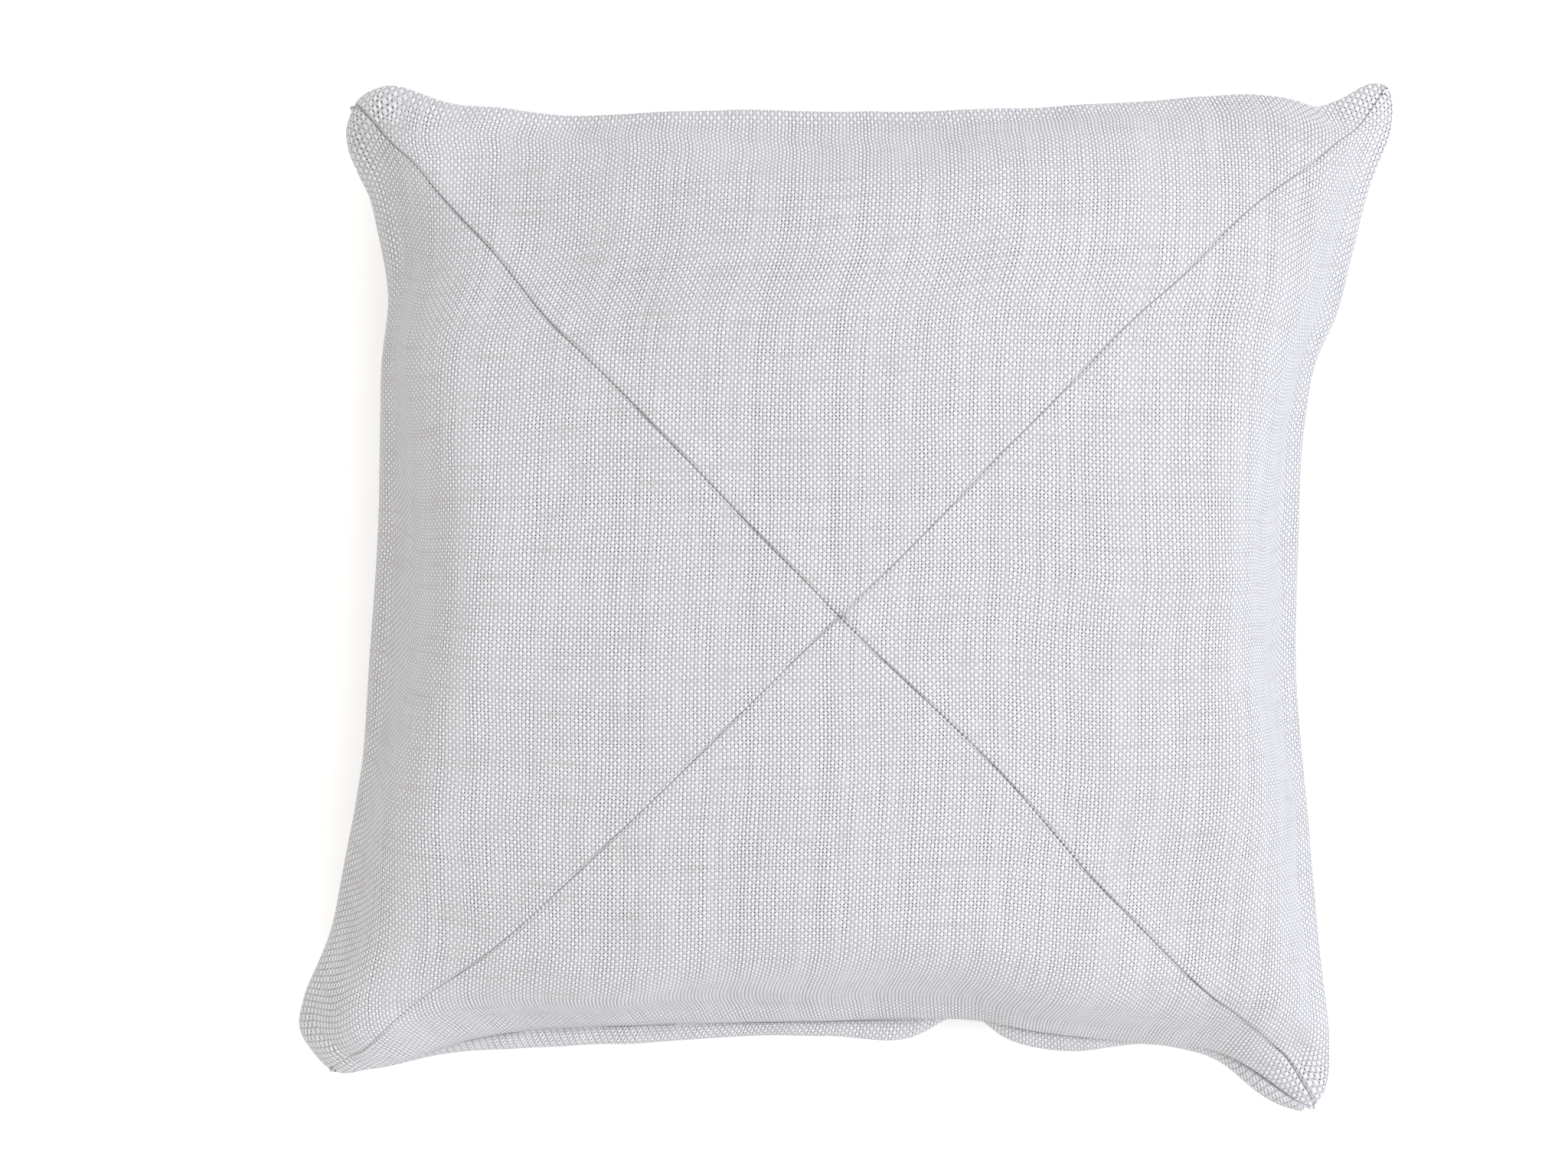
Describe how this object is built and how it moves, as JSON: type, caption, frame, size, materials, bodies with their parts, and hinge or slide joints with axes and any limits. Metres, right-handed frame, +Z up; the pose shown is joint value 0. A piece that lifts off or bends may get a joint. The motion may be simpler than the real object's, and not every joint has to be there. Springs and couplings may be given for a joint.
{
  "type": "floor cushion",
  "caption": "Square floor cushion lying flat: mitred woven front panels meeting in a cross, plain back, edge zip, sewn inner pad with fibre filling.",
  "frame": {"origin": "on the floor, under the middle of the cushion's bounding box", "axes": "+Z up, out of the mitred face; X along the zipped edge, which faces +Y; the two short mitre seams run to the +X +Y and the -X -Y corners"},
  "size_m": [0.608, 0.608, 0.1675],
  "materials": {
    "linen_face": "chunky plain weave, matt",
    "linen_back": "plain weave, matt",
    "sewing_thread": "spun polyester, matt",
    "zip_tape": "fine twill tape, matt",
    "zip_coil": "nylon monofilament, satin",
    "zip_metal": "nickel-plated, satin",
    "casing_cloth": "non-woven, matt",
    "fibre": "loose polyester fibre",
    "label_ribbon": "satin ribbon, blank"
  },
  "bodies": {
    "cushion": {"mitred_panel_zip_side": "linen_face", "mitred_panel_left": "linen_face", "mitred_panel_front": "linen_face", "mitred_panel_right": "linen_face", "back_panel": "linen_back", "mitre_seam_long": "sewing_thread", "mitre_seam_short_right": "sewing_thread", "mitre_seam_short_left": "sewing_thread", "edge_seam_thread": "sewing_thread", "care_label": "label_ribbon", "inner_casing_front": "casing_cloth", "inner_casing_back": "casing_cloth", "inner_casing_seam_thread": "sewing_thread", "fibre_filling": "fibre", "zip_coil_upper": "zip_coil", "zip_coil_lower": "zip_coil", "zip_tape_upper": "zip_tape", "zip_tape_lower": "zip_tape", "zip_stop_closed_end": "zip_metal", "zip_stop_open_end": "zip_metal"},
    "slider": {"zip_slider": "zip_metal"},
    "pull": {"zip_pull_tab": "zip_metal"}
  },
  "joints": [
    {"name": "zip_slide", "type": "slide", "parent": "cushion", "child": "slider", "axis": [-1, 0, 0], "range_m": [0, 0.382]},
    {"name": "pull_swing", "type": "hinge", "parent": "slider", "child": "pull", "pos_m": [0.203, 0.27235, 0.062], "axis": [0, 0, -1], "range_deg": [0, 160]}
  ]
}
